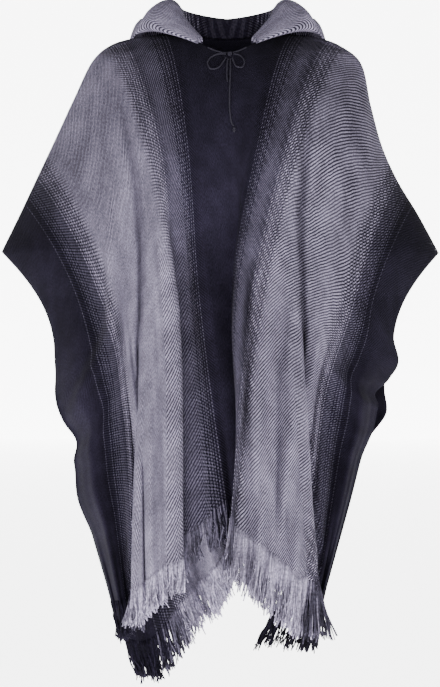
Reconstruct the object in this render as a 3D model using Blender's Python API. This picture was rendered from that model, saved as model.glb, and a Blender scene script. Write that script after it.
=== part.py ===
"""Hooded Andean poncho, worn: two fringed loom lengths, a lowered hood and a neck drawstring."""
import math

import bpy
import numpy as np

for item in list(bpy.data.objects):
    bpy.data.objects.remove(item, do_unlink=True)

# Sizes in metres. X is across the shoulders, the front faces -Y, +Z is up.
HALF_WIDTH = 0.650      # half of the loom length's width, along the arms
DROP = 0.880            # shoulder line to the start of the fringe
CLOTH = 0.0025          # brushed alpaca cloth
HALF_CLOTH = CLOTH / 2
SEAM = 0.0002           # each piece stops this far from the seam line
FRINGE_LONG = 0.075
FRINGE_THICK = 0.004
HEM_GAP = 0.0018
NECK_HALF = 0.085       # half width of the neck hole on the shoulder line
NECK_FRONT = 0.092      # how far the neck hole is cut down the front
NECK_BACK = 0.030
DOME = 0.200            # height over which the cloth turns from the shoulders to hanging
CORD = 0.0028
LEVELS = np.array([0.0, 0.22, 0.52, DROP])

# The shoulder line, a row per warp line: place across the cloth, then where it lies.
RIDGE = np.array([
    # place    x       z
    (-0.650, -0.390, -0.371), (-0.570, -0.359, -0.308), (-0.480, -0.327, -0.240),
    (-0.400, -0.294, -0.170), (-0.340, -0.264, -0.105), (-0.270, -0.229, -0.035),
    (-0.220, -0.201, -0.011), (-0.115, -0.105, 0.009), (0.000, 0.004, 0.012),
    (0.115, 0.114, 0.009), (0.220, 0.201, -0.011), (0.270, 0.235, -0.038),
    (0.340, 0.254, -0.114), (0.400, 0.271, -0.178), (0.480, 0.299, -0.243),
    (0.570, 0.338, -0.308), (0.650, 0.373, -0.373)])

# The same warp lines lower down on each length of cloth.
FRONT_LINES = np.array([
    # chest x  chest z  waist x  waist z   hem x   hem z
    (-0.295, -0.545, -0.260, -0.750, -0.195, -0.980),
    (-0.260, -0.485, -0.222, -0.720, -0.178, -0.974),
    (-0.220, -0.430, -0.176, -0.650, -0.163, -0.958),
    (-0.203, -0.348, -0.160, -0.592, -0.149, -0.944),
    (-0.181, -0.288, -0.140, -0.546, -0.130, -0.932),
    (-0.154, -0.220, -0.112, -0.499, -0.104, -0.910),
    (-0.135, -0.172, -0.091, -0.473, -0.083, -0.894),
    (-0.070, -0.149, -0.045, -0.441, 0.000, -0.816),
    (0.004, -0.144, 0.040, -0.438, 0.055, -0.818),
    (0.065, -0.144, 0.013, -0.438, 0.036, -0.822),
    (0.131, -0.166, 0.060, -0.455, 0.012, -0.836),
    (0.153, -0.215, 0.087, -0.485, 0.044, -0.861),
    (0.180, -0.286, 0.124, -0.536, 0.082, -0.889),
    (0.200, -0.350, 0.150, -0.580, 0.117, -0.915),
    (0.219, -0.436, 0.176, -0.625, 0.152, -0.934),
    (0.257, -0.493, 0.222, -0.674, 0.164, -0.950),
    (0.290, -0.534, 0.250, -0.679, 0.172, -0.956)])
BACK_LINES = np.array([
    (-0.295, -0.545, -0.247, -0.744, -0.177, -1.064),
    (-0.260, -0.490, -0.222, -0.726, -0.135, -1.068),
    (-0.224, -0.434, -0.184, -0.674, -0.086, -1.008),
    (-0.205, -0.350, -0.166, -0.620, -0.054, -0.977),
    (-0.182, -0.288, -0.145, -0.580, -0.031, -0.955),
    (-0.154, -0.220, -0.112, -0.540, -0.010, -0.925),
    (-0.135, -0.165, -0.082, -0.510, 0.003, -0.905),
    (-0.067, -0.126, -0.038, -0.473, 0.022, -0.852),
    (0.004, -0.119, 0.009, -0.455, 0.048, -0.838),
    (0.072, -0.122, 0.056, -0.473, 0.074, -0.842),
    (0.135, -0.160, 0.098, -0.505, 0.097, -0.866),
    (0.154, -0.215, 0.120, -0.540, 0.109, -0.888),
    (0.182, -0.288, 0.150, -0.585, 0.126, -0.920),
    (0.203, -0.350, 0.174, -0.624, 0.143, -0.944),
    (0.222, -0.434, 0.198, -0.668, 0.163, -0.976),
    (0.261, -0.490, 0.233, -0.700, 0.172, -1.012),
    (0.290, -0.534, 0.250, -0.711, 0.158, -1.036)])

# How wide and deep the worn cloth is at each height.
SHAPE = np.array([
    # height  half width  front   back
    (0.020, 0.100, 0.110, 0.110), (-0.025, 0.224, 0.120, 0.125), (-0.100, 0.262, 0.130, 0.140),
    (-0.200, 0.310, 0.140, 0.150), (-0.371, 0.405, 0.142, 0.145), (-0.450, 0.345, 0.145, 0.145),
    (-0.550, 0.312, 0.148, 0.150), (-0.660, 0.285, 0.150, 0.156), (-0.830, 0.245, 0.160, 0.165),
    (-0.950, 0.215, 0.164, 0.172), (-1.120, 0.200, 0.168, 0.180)])

# Pleats: one side of the line steps forward and laps over the other.
FRONT_PLEATS = [
    # at ridge  at hem  half width  step   lap   dies over  starts  full  fades  gone
    (-0.020, 0.125, 0.110, 0.058, 0.000, 9.0, 0.30, 0.50, 9.0, 9.9),
    (-0.205, -0.205, 0.050, -0.050, 0.015, 9.0, 0.28, 0.52, 9.0, 9.9),
    (-0.210, -0.475, 0.050, 0.045, 0.010, 9.0, 0.48, 0.70, 9.0, 9.9),
    (-0.125, -1.260, 0.045, 0.026, 0.008, 0.16, 0.14, 0.26, 0.34, 0.44),
    (0.144, 0.520, 0.048, -0.045, 0.012, 9.0, 0.42, 0.64, 9.0, 9.9)]
BACK_PLEATS = [
    (0.570, 0.570, 0.070, 0.030, 0.000, 9.0, 0.40, 0.80, 9.0, 9.9)]

# Soft folds: a trough where the depth is negative, a swell where it is positive.
FRONT_FOLDS = [
    # at ridge  at hem  half width  depth  starts  full  fades  gone
    (-0.210, -0.475, 0.028, -0.016, 0.10, 0.24, 0.50, 0.62),
    (0.144, 0.520, 0.028, -0.022, 0.12, 0.28, 0.46, 0.60),
    (0.050, 0.270, 0.024, -0.016, 0.36, 0.52, 9.0, 9.9),
    (0.220, 0.352, 0.022, -0.014, 0.52, 0.64, 9.0, 9.9),
    (-0.250, -0.330, 0.045, 0.010, 0.15, 0.40, 9.0, 9.9),
    (0.180, 0.420, 0.040, 0.012, 0.20, 0.45, 9.0, 9.9),
    (-0.080, -0.110, 0.050, 0.018, 0.25, 0.60, 9.0, 9.9),
    (-0.570, -0.590, 0.070, 0.024, 0.14, 0.50, 9.0, 9.9),
    (0.575, 0.590, 0.060, 0.020, 0.22, 0.45, 0.60, 0.88)]
BACK_FOLDS = [
    (-0.600, -0.600, 0.080, 0.024, 0.15, 0.50, 9.0, 9.9),
    (-0.500, -0.500, 0.080, -0.030, 0.15, 0.50, 9.0, 9.9),
    (-0.400, -0.400, 0.080, 0.040, 0.20, 0.50, 9.0, 9.9),
    (-0.300, -0.300, 0.080, -0.040, 0.22, 0.55, 9.0, 9.9),
    (-0.200, -0.195, 0.085, 0.034, 0.32, 0.65, 9.0, 9.9),
    (-0.100, -0.095, 0.080, -0.034, 0.38, 0.72, 9.0, 9.9),
    (0.000, 0.000, 0.080, 0.042, 0.38, 0.72, 9.0, 9.9),
    (0.100, 0.100, 0.080, -0.042, 0.38, 0.72, 9.0, 9.9),
    (0.205, 0.205, 0.090, 0.038, 0.32, 0.65, 9.0, 9.9),
    (0.320, 0.320, 0.090, -0.030, 0.22, 0.55, 9.0, 9.9),
    (0.430, 0.430, 0.080, 0.018, 0.20, 0.50, 9.0, 9.9)]

# Hood sections, a row per ring from the neck seam to the face edge, measured from the seam.
HOOD_RINGS = np.array([
    # back out   up   rear out   up   side out   up
    (0.000, 0.000, 0.000, 0.000, 0.000, 0.000),
    (0.004, 0.018, 0.003, 0.022, -0.002, 0.022),
    (0.016, 0.034, 0.012, 0.041, 0.003, 0.044),
    (0.040, 0.030, 0.034, 0.043, 0.016, 0.055),
    (0.076, -0.025, 0.060, 0.020, 0.034, 0.053),
    (0.112, -0.115, 0.084, -0.030, 0.050, 0.043),
    (0.140, -0.205, 0.104, -0.078, 0.062, 0.031),
    (0.178, -0.228, 0.128, -0.088, 0.069, 0.017),
    (0.192, -0.160, 0.136, -0.055, 0.070, 0.006),
    (0.186, -0.070, 0.134, -0.012, 0.064, 0.001),
    (0.178, -0.010, 0.124, 0.022, 0.056, 0.003),
    (0.168, 0.018, 0.112, 0.036, 0.048, 0.008)])
HOOD_TIP_TURN = math.radians(143)      # where the hood's front ends stop, round from the back
HOOD_STATIONS = [0.0, 0.36, 0.63, 0.82, 1.0]
HOOD_FRONT_SIDE = 0.55                 # the flap gets smaller towards its front end
HOOD_TIP = 0.20
HOOD_OFF_EDGE = 0.005                  # the hood is sewn this far outside the cut
HOOD_LIFT = 0.0045

# The drawstring, as places (x, z) on the front of the cloth measured from its knot.
NECK_CORD_OFF = 0.003
NECK_CORD_END = 0.040
KNOT_PLACE = (0.008, -0.036)
KNOT_SIZE = (0.0045, 0.0035, 0.0040)
TAIL_KNOT_PLACE = (0.007, -0.132)
TAIL_KNOT_SIZE = (0.0030, 0.0028, 0.0050)
BOW_ROUTES = [
    # name, places, extra height over the cloth
    ("bow_loop_left", [(-0.0066, 0.001), (-0.018, 0.001), (-0.032, -0.005), (-0.038, -0.015),
                       (-0.032, -0.026), (-0.020, -0.024), (-0.011, -0.013), (-0.0060, -0.0050)], 0.0008),
    ("bow_loop_right", [(0.0066, 0.001), (0.014, 0.000), (0.022, -0.006), (0.025, -0.014),
                        (0.020, -0.023), (0.012, -0.022), (0.007, -0.014), (0.0045, -0.0066)], 0.0008),
    ("tail_long", [(0.0010, -0.0070), (0.0010, -0.030), (-0.0005, -0.070), (0.0005, -0.105),
                   (0.0040, -0.122), (0.0064, -0.1255)], 0.0),
    ("tail_short", [(-0.0032, -0.0068), (-0.0045, -0.020), (-0.0050, -0.034), (-0.0040, -0.048)], 0.0)]


def slopes(knots, values):
    """Slope at each knot of a smooth curve through the values."""
    gap = np.diff(knots)[:, None]
    rise = np.diff(values, axis=0) / gap
    middle = (rise[:-1] * gap[1:] + rise[1:] * gap[:-1]) / (gap[1:] + gap[:-1])
    return np.concatenate([rise[:1], middle, rise[-1:]])


def cubic(step, start, end, start_slope, end_slope):
    """Smooth step from start to end that leaves and arrives along the given slopes."""
    square = step * step
    cube = square * step
    return ((2 * cube - 3 * square + 1) * start + (cube - 2 * square + step) * start_slope
            + (3 * square - 2 * cube) * end + (cube - square) * end_slope)


def smooth(knots, values, at):
    """Values of the smooth curve at the given places."""
    knots = np.asarray(knots, float)
    values = np.asarray(values, float).reshape(len(knots), -1)
    at = np.clip(np.asarray(at, float), knots[0], knots[-1])
    slope = slopes(knots, values)
    i = np.clip(np.searchsorted(knots, at, side="right") - 1, 0, len(knots) - 2)
    gap = (knots[i + 1] - knots[i])[:, None]
    step = (at - knots[i])[:, None] / gap
    return cubic(step, values[i], values[i + 1], slope[i] * gap, slope[i + 1] * gap)


def ease(step):
    step = np.clip(step, 0.0, 1.0)
    return step * step * (3 - 2 * step)


def grows(down, starts, full, fades, gone):
    """How much of a fold there is this far down the cloth."""
    return ease((down - starts) / (full - starts)) * ease((gone - down) / (gone - fades))


def hang(lines, down):
    """x and z of every warp line at the given distances down the cloth."""
    rows = np.concatenate([RIDGE[:, None, 1:], lines.reshape(-1, 3, 2)], axis=1)
    out = np.abs(RIDGE[:, 0]) / HALF_WIDTH
    bow = np.stack([out ** 6, -0.6 * (1 - out ** 1.5)], axis=1)
    gap = np.diff(LEVELS)
    rise = np.diff(rows, axis=1) / gap[None, :, None]
    middle = (rise[:, 1] * gap[2] + rise[:, 2] * gap[1]) / (gap[1] + gap[2])
    slope = np.stack([rise[:, 0] * (1 + bow), rise[:, 0] * (1 - bow), middle, rise[:, 2]], axis=1)
    i = np.clip(np.searchsorted(LEVELS, down, side="right") - 1, 0, 2)
    step = ((down - LEVELS[i]) / gap[i])[None, :, None]
    wide = gap[i][None, :, None]
    return cubic(step, rows[:, i], rows[:, i + 1], slope[:, i] * wide, slope[:, i + 1] * wide)


def worn_depth(x, z, depth_column):
    """Distance of the worn cloth from the shoulder plane, and its height under the shoulder line."""
    fine = np.linspace(-HALF_WIDTH, HALF_WIDTH, 261)
    top = smooth(RIDGE[:, 0], RIDGE[:, 1:], fine)
    below = np.maximum(np.interp(x, top[:, 0], top[:, 1]) - z, 0.0)
    order = np.argsort(SHAPE[:, 0])
    half = np.interp(z, SHAPE[order, 0], SHAPE[order, 1])
    deep = np.interp(z, SHAPE[order, 0], SHAPE[order, depth_column])
    turn = 1 - (1 - np.clip(below / DOME, 0, 1)) ** 2
    round_off = 1 - np.clip(np.abs(x) / half, 0, 0.97) ** 2
    return deep * np.sqrt(turn * round_off), below


def smooth_rows(rows, place):
    """The smooth curve across the warp lines, read at one place across the cloth."""
    count = rows.shape[1]
    return smooth(RIDGE[:, 0], rows.reshape(len(RIDGE), -1), [place]).reshape(count, 2)


def cloth(lines, pleats, folds, depth_column, facing, across, down):
    """Points of the middle of one loom length, a row of distances down for each place across."""
    flat = np.stack([smooth_rows(hang(lines, row), place) for place, row in zip(across, down)])
    x, z = flat[..., 0], flat[..., 1]
    y, below = worn_depth(x, z, depth_column)
    room = np.clip(y / 0.06, 0, 1)
    forward = np.zeros_like(x)
    aside = np.zeros_like(x)
    place = across[:, None]
    for at_ridge, at_hem, wide, step, lap, dies, *reach in pleats:
        off = (place - at_ridge - (at_hem - at_ridge) * down / DROP) / wide
        much = grows(down, *reach) * room
        forward += step * ease((off + 1) / 2) * (1 - ease((off - 1) * wide / dies)) * much
        aside -= lap * np.sin(np.pi * np.clip(off, -1, 1)) * much
    for at_ridge, at_hem, wide, depth, *reach in folds:
        off = (place - at_ridge - (at_hem - at_ridge) * down / DROP) / wide
        forward += depth * np.cos(np.pi / 2 * np.clip(off, -1, 1)) ** 2 * grows(down, *reach) * room
    y = y + forward
    least = 0.012
    y = np.where(y < least, least * np.exp(np.minimum(y - least, 0) / least), y)
    y = y * np.clip(below / 0.004, 0, 1)
    return np.stack([x + aside, facing * (y + SEAM), z], axis=-1)


def front_cloth(across, down):
    return cloth(FRONT_LINES, FRONT_PLEATS, FRONT_FOLDS, 2, -1.0, across, down)


def back_cloth(across, down):
    return cloth(BACK_LINES, BACK_PLEATS, BACK_FOLDS, 3, 1.0, across, down)


def facing_out(middle, down, sign):
    """Unit normals of a grid of cloth, flat to the seam at the shoulder line and level at the hem."""
    wide = np.gradient(middle, axis=0)
    long = np.gradient(middle, axis=1)
    normal = np.cross(wide, long) * sign
    on_ridge = down < 1e-6
    ridge = np.stack([-wide[..., 2], np.zeros_like(down), wide[..., 0]], axis=-1)
    normal = np.where(on_ridge[..., None], ridge, normal)
    normal[..., 2] = np.where(down > DROP - 1e-6, 0.0, normal[..., 2])
    return normal / np.linalg.norm(normal, axis=-1, keepdims=True)


def neck_edge(across, cut):
    """How far down the cloth the neck hole reaches at this place."""
    inside = np.clip(np.abs(across) / NECK_HALF, 0, 1)
    return cut * (1 - inside ** 1.6) ** 0.75


def cloth_grid(across, cut, rows, tail=0.0):
    """Distances down the cloth for each place across, from the neck or shoulder to the hem."""
    start = neck_edge(across, cut)[:, None]
    share = np.linspace(0, 1, rows)[None, :] ** 1.25
    return start + (DROP + tail - start) * share


def add_material(piece, name, color, roughness):
    material = bpy.data.materials.new(name)
    material.use_nodes = True
    shader = material.node_tree.nodes["Principled BSDF"]
    shader.inputs["Base Color"].default_value = (*color, 1.0)
    shader.inputs["Roughness"].default_value = roughness
    piece.data.materials.append(material)


def add_mesh(name, points, faces):
    mesh = bpy.data.meshes.new(name)
    mesh.from_pydata([tuple(float(c) for c in p) for p in points], [], faces)
    mesh.update()
    piece = bpy.data.objects.new(name, mesh)
    bpy.context.collection.objects.link(piece)
    return piece


def wall(name, outer, inner):
    """A closed wall between two grids of points of the same size."""
    long, wide = outer.shape[:2]
    total = long * wide
    points = np.concatenate([outer.reshape(-1, 3), inner.reshape(-1, 3)])
    faces = []
    for i in range(long - 1):
        for j in range(wide - 1):
            a = i * wide + j
            quad = (a, a + 1, a + wide + 1, a + wide)
            faces.append(quad)
            faces.append(tuple(k + total for k in reversed(quad)))
    rim = [i * wide for i in range(long)]
    rim += [(long - 1) * wide + j for j in range(1, wide)]
    rim += [i * wide + wide - 1 for i in range(long - 2, -1, -1)]
    rim += [j for j in range(wide - 2, 0, -1)]
    for k, a in enumerate(rim):
        b = rim[(k + 1) % len(rim)]
        faces.append((a, b, b + total, a + total))
    return add_mesh(name, points, faces)


def columns(count):
    """Places across the cloth, one of them on each side of the neck hole."""
    side = np.linspace(NECK_HALF, HALF_WIDTH, (count - 8) // 2 + 1)
    neck = np.linspace(-NECK_HALF, NECK_HALF, 9)
    return np.concatenate([-side[::-1], neck[1:-1], side])


def panel_grid(surface, cut, sign, count, rows):
    across = columns(count)
    down = cloth_grid(across, cut, rows)
    middle = surface(across, down)
    return middle, facing_out(middle, down, sign)


def add_panel(name, middle, normal, sign):
    outer = middle + normal * HALF_CLOTH
    inner = middle - normal * HALF_CLOTH
    if sign < 0:
        return wall(name, outer, inner)
    return wall(name, inner, outer)


def add_fringe(name, hem, above, normal, sign):
    """The reach of the fringe: the warp ends go on below the hem."""
    fall = hem - above
    fall = fall / np.linalg.norm(fall, axis=-1, keepdims=True)
    along = np.gradient(hem, axis=0)
    along = along / np.linalg.norm(along, axis=-1, keepdims=True)
    slant = np.linalg.norm(np.cross(along, fall), axis=-1)
    start = HEM_GAP / np.clip(slant, 0.2, 1.0)
    steps = np.stack([start, np.full(len(hem), FRINGE_LONG)], axis=1)[..., None]
    middle = hem[:, None] + fall[:, None] * steps
    half = FRINGE_THICK / 2 * np.array([0.3, 0.8])[None, :, None]
    outer = middle + normal[:, None] * half
    inner = middle - normal[:, None] * half
    if sign < 0:
        return wall(name, outer, inner)
    return wall(name, inner, outer)


def neck_point(turn, off):
    """A point just outside the neck hole, turned round from the back."""
    place = NECK_HALF * math.sin(turn)
    across = np.array([place])
    if abs(turn) < math.pi / 2:
        surface, cut = back_cloth, NECK_BACK
    else:
        surface, cut = front_cloth, NECK_FRONT
    down = neck_edge(across, cut)[:, None] + off
    return surface(across, down)[0, 0]


def hood_station(turn_share):
    """Out and up of every hood ring at one station, 0 at the back and 1 at a front end."""
    back, rear, side = HOOD_RINGS[:, 0:2], HOOD_RINGS[:, 2:4], HOOD_RINGS[:, 4:6]
    rows = np.stack([back, rear, side, side * HOOD_FRONT_SIDE, side * HOOD_TIP])
    return smooth(HOOD_STATIONS, rows.reshape(5, -1), [turn_share]).reshape(-1, 2)


def hood_cloth(shares, rings):
    """Points of the middle of the hood: stations round the neck, rings from seam to face edge."""
    points = np.empty((len(shares), len(rings), 3))
    for i, share in enumerate(shares):
        turn = share * HOOD_TIP_TURN
        seam = neck_point(turn, HOOD_OFF_EDGE)
        out = np.array([math.sin(turn), math.cos(turn), 0.0])
        section = smooth(range(len(HOOD_RINGS)), hood_station(abs(share)), rings)
        points[i] = seam + out * section[:, :1]
        points[i, :, 2] += HOOD_LIFT + section[:, 1]
    return points


def add_hood():
    shares = np.linspace(-1, 1, 29)
    rings = np.linspace(0, len(HOOD_RINGS) - 1, 15)
    middle = hood_cloth(shares, rings)
    along = np.gradient(middle, axis=0)
    rise = np.gradient(middle, axis=1)
    normal = np.cross(along, rise)
    normal = normal / np.linalg.norm(normal, axis=-1, keepdims=True)
    return wall("hood", middle - normal * HALF_CLOTH, middle + normal * HALF_CLOTH)


def on_chest(x, z, out):
    """A point this far out from the middle of the cloth at the front."""
    small = 0.001
    y = -worn_depth(x, z, 2)[0] - SEAM
    in_x = (-worn_depth(x + small, z, 2)[0] - SEAM - y) / small
    in_z = (-worn_depth(x, z + small, 2)[0] - SEAM - y) / small
    normal = np.array([in_x, -1.0, in_z])
    normal = normal / np.linalg.norm(normal)
    return np.array([x, y, z]) + normal * out


def add_cord(name, route, radius, spacing):
    """A round cord along a smooth route through its own points."""
    route = np.array(route)
    lengths = np.concatenate([[0], np.cumsum(np.linalg.norm(np.diff(route, axis=0), axis=1))])
    count = max(4, int(round(lengths[-1] / spacing)) + 1)
    points = smooth(lengths, route, np.linspace(0, lengths[-1], count))
    curve = bpy.data.curves.new(name, "CURVE")
    curve.dimensions = "3D"
    curve.bevel_depth = radius
    curve.bevel_resolution = 2
    curve.use_fill_caps = True
    line = curve.splines.new("POLY")
    line.points.add(count - 1)
    for spot, point in zip(line.points, points):
        spot.co = (*[float(c) for c in point], 1.0)
    piece = bpy.data.objects.new(name, curve)
    bpy.context.collection.objects.link(piece)
    return piece


def add_knot(name, center, size):
    """A rounded knot of cord."""
    rings, sides = 8, 12
    points = [center + np.array([0, 0, size[2]])]
    for i in range(1, rings):
        tilt = math.pi * i / rings
        for j in range(sides):
            turn = 2 * math.pi * j / sides
            spot = (math.sin(tilt) * math.cos(turn), math.sin(tilt) * math.sin(turn), math.cos(tilt))
            points.append(center + np.array(spot) * size)
    points.append(center - np.array([0, 0, size[2]]))
    faces = []
    for j in range(sides):
        faces.append((0, 1 + j, 1 + (j + 1) % sides))
    for i in range(rings - 2):
        a = 1 + i * sides
        b = a + sides
        for j in range(sides):
            k = (j + 1) % sides
            faces.append((a + j, b + j, b + k, a + k))
    last = len(points) - 1
    a = last - sides
    for j in range(sides):
        faces.append((last, a + (j + 1) % sides, a + j))
    return add_mesh(name, points, faces)


def chest_route(places, out):
    return [on_chest(x, z, out) for x, z in places]


def neckline_places(start, end, count):
    """Places along the front neck edge, just below the cut."""
    across = np.linspace(start, end, count)
    down = neck_edge(across, NECK_FRONT)[:, None] + NECK_CORD_OFF
    points = front_cloth(across, down)[:, 0]
    return [(float(p[0]), float(p[2])) for p in points]


def add_drawstring():
    lie = HALF_CLOTH + CORD / 2 + 0.0005
    knot_x, knot_z = KNOT_PLACE
    left = neckline_places(-NECK_CORD_END, knot_x - KNOT_SIZE[0] - 0.0035, 7)
    right = neckline_places(knot_x + KNOT_SIZE[0] - 0.0005, NECK_CORD_END, 7)
    pieces = [add_cord("neck_cord_left", chest_route(left, lie), CORD / 2, 0.006),
              add_cord("neck_cord_right", chest_route(right, lie), CORD / 2, 0.006)]
    center = on_chest(knot_x, knot_z, HALF_CLOTH + 0.0006 + KNOT_SIZE[1] * 1.15)
    pieces.append(add_knot("bow_knot", center, np.array(KNOT_SIZE)))
    for name, places, out in BOW_ROUTES:
        spots = [(knot_x + x, knot_z + z) for x, z in places]
        pieces.append(add_cord(name, chest_route(spots, lie + out), CORD / 2, 0.006))
    end_x, end_z = TAIL_KNOT_PLACE
    center = on_chest(knot_x + end_x, knot_z + end_z, HALF_CLOTH + 0.0006 + TAIL_KNOT_SIZE[1])
    pieces.append(add_knot("tail_knot", center, np.array(TAIL_KNOT_SIZE)))
    return pieces


NAVY = (0.020, 0.018, 0.028)
GREY = (0.190, 0.180, 0.220)
LAVENDER = (0.260, 0.245, 0.300)

middle, normal = panel_grid(front_cloth, NECK_FRONT, -1.0, 50, 15)
front = add_panel("front_panel", middle, normal, -1.0)
add_material(front, "front_weave", GREY, 0.9)
fringe = add_fringe("fringe_front", middle[:, -1], middle[:, -3], normal[:, -1], -1.0)
add_material(fringe, "front_fringe_yarn", LAVENDER, 0.95)
middle, normal = panel_grid(back_cloth, NECK_BACK, 1.0, 44, 13)
back = add_panel("back_panel", middle, normal, 1.0)
add_material(back, "back_weave", GREY, 0.9)
fringe = add_fringe("fringe_back", middle[:, -1], middle[:, -3], normal[:, -1], 1.0)
add_material(fringe, "back_fringe_yarn", LAVENDER, 0.95)
add_material(add_hood(), "hood_weave", GREY, 0.9)
for piece in add_drawstring():
    add_material(piece, piece.name + "_yarn", NAVY, 0.85)
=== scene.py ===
"""A hooded Andean poncho of striped alpaca cloth, worn: its weave, fringes, lowered hood and neck cord."""
import math

import bpy
import numpy as np
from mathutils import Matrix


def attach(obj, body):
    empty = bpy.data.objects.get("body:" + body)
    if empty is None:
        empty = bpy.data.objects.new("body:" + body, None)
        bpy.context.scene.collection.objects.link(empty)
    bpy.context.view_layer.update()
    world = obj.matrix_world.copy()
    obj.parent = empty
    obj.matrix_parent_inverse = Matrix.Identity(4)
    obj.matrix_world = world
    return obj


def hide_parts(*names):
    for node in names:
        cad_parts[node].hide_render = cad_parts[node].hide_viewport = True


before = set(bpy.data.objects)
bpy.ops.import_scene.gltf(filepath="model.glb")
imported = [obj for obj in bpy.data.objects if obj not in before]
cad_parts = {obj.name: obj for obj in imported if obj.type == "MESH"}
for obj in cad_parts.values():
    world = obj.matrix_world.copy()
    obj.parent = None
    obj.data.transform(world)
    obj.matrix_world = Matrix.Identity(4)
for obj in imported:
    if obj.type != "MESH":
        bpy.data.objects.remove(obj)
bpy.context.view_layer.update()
bpy.ops.object.select_all(action="DESELECT")

# ---------------------------------------------------------------- the studio
# A wide pale floor with a backdrop at its far edge, two large soft lights in front and one above, and
# a camera level with the middle of the poncho. The floor is where the wearer's feet would be.
FLOOR_DROP = -1.42
SHEET_SIZE = 44.0
BACKDROP_HIGH = 9.0
VIEW_HIGH = 1.202
VIEW_MIDDLE = (-0.00875, -0.531)      # x and z
CAMERA_AWAY = 5.0
FILM_HIGH = 36.0
PAPER = (0.95, 0.95, 0.95, 1.0)
WHITE = (1.0, 1.0, 1.0, 1.0)
PAPER_GLOW = 5.0
AIR_GLOW = 0.24
LIGHTS = [
    # name        place              aims at           size  power
    ("key_light", (-2.0, -3.8, 0.1), (0.0, 0.0, -0.6), 2.6, 76.0),
    ("fill_light", (2.6, -3.2, 0.2), (0.0, 0.0, -0.6), 2.6, 41.0),
    ("top_light", (0.0, 0.6, 2.4), (0.0, 0.0, -0.3), 2.2, 14.0)]


def stage_material():
    material = bpy.data.materials.new("studio_paper")
    material.use_nodes = True
    shader = material.node_tree.nodes["Principled BSDF"]
    shader.inputs["Base Color"].default_value = PAPER
    shader.inputs["Roughness"].default_value = 0.9
    shader.inputs["Emission Color"].default_value = WHITE
    shader.inputs["Emission Strength"].default_value = PAPER_GLOW
    return material


def soft_light(name, place, aim, size, power):
    """A large square light that faces a point."""
    lamp = bpy.data.lights.new(name, "AREA")
    lamp.shape = "SQUARE"
    lamp.size = size
    lamp.energy = power
    lamp_object = bpy.data.objects.new(name, lamp)
    bpy.context.collection.objects.link(lamp_object)
    lamp_object.location = place
    away = np.array(place) - np.array(aim)
    lamp_object.rotation_euler = (math.atan2(math.hypot(away[0], away[1]), away[2]), 0.0,
                                  math.atan2(away[0], -away[1]))


bpy.ops.mesh.primitive_plane_add(size=SHEET_SIZE, location=(0.0, 0.0, FLOOR_DROP))
floor = bpy.context.object
floor.name = "studio_floor"
bpy.ops.object.mode_set(mode="EDIT")
bpy.ops.mesh.select_all(action="DESELECT")
bpy.ops.object.mode_set(mode="OBJECT")
for edge in floor.data.edges:
    ends = [floor.data.vertices[i].co.y for i in edge.vertices]
    edge.select = min(ends) > SHEET_SIZE / 2 - 0.01
bpy.ops.object.mode_set(mode="EDIT")
bpy.ops.mesh.select_mode(type="EDGE")
bpy.ops.mesh.extrude_region_move(TRANSFORM_OT_translate={"value": (0.0, 0.0, BACKDROP_HIGH)})
bpy.ops.object.mode_set(mode="OBJECT")
floor.data.materials.append(stage_material())

for name, place, aim, size, power in LIGHTS:
    soft_light(name, place, aim, size, power)
world = bpy.data.worlds.new("studio_air")
world.use_nodes = True
world.node_tree.nodes["Background"].inputs["Color"].default_value = WHITE
world.node_tree.nodes["Background"].inputs["Strength"].default_value = AIR_GLOW
bpy.context.scene.world = world

camera = bpy.data.cameras.new("camera")
camera.sensor_fit = "VERTICAL"
camera.sensor_height = FILM_HIGH
camera.lens = FILM_HIGH * CAMERA_AWAY / VIEW_HIGH
camera_object = bpy.data.objects.new("camera", camera)
bpy.context.collection.objects.link(camera_object)
camera_object.location = (VIEW_MIDDLE[0], -CAMERA_AWAY, VIEW_MIDDLE[1])
camera_object.rotation_euler = (math.pi / 2, 0.0, 0.0)
bpy.context.scene.camera = camera_object

# ---------------------------------------------------------------- the two loom lengths
# Front and back are each one hand-loom length of brushed alpaca twill, 1.30 m wide. Warp stripes run
# from the shoulder line to the hem. The two lengths meet along the shoulder line, and the cloth hangs
# from there in pleats and folds.
HALF_WIDTH = 0.650
DROP = 0.880
CLOTH = 0.0025
HALF_CLOTH = CLOTH / 2
SEAM = 0.0002                 # each length stays this far from the shoulder plane
NECK_HALF = 0.085
NECK_FRONT = 0.092            # depth of the neck cut in each length
NECK_BACK = 0.030
NECK_CURVE = (2.0, 0.8)       # powers that give the neck cut its U shape
DOME = 0.200                  # the worn cloth rounds over this far under the shoulder line
LEVELS = np.array([0.0, 0.22, 0.52, DROP])     # shoulder, chest, waist and hem, down the cloth
FOLD_ROOM = 0.06              # folds grow in as the cloth gets this deep
LEAST_DEPTH = 0.012           # front and back don't come nearer to the shoulder plane than this
SEAM_RUN = 0.004              # except next to the seam, where they close over this drop
PANEL_COLUMNS = 241
NECK_COLUMNS = 9              # of those, the ones over the neck hole
PANEL_ROWS = 170
ROW_SPREAD = 1.25             # rows are closer together near the shoulder line
TURN_IN = 6                   # power: only near the selvedges it turns in quickly under the elbows
ROLL = (0.6, 1.5)             # the middle rolls forward over the shoulders before it falls: share, power
ROUNDED = 0.97                # past this share of its half width the cloth rounds away no further
RIDGE_STEPS = 261
TINY = 1e-6
TINIEST = 1e-9

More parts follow.
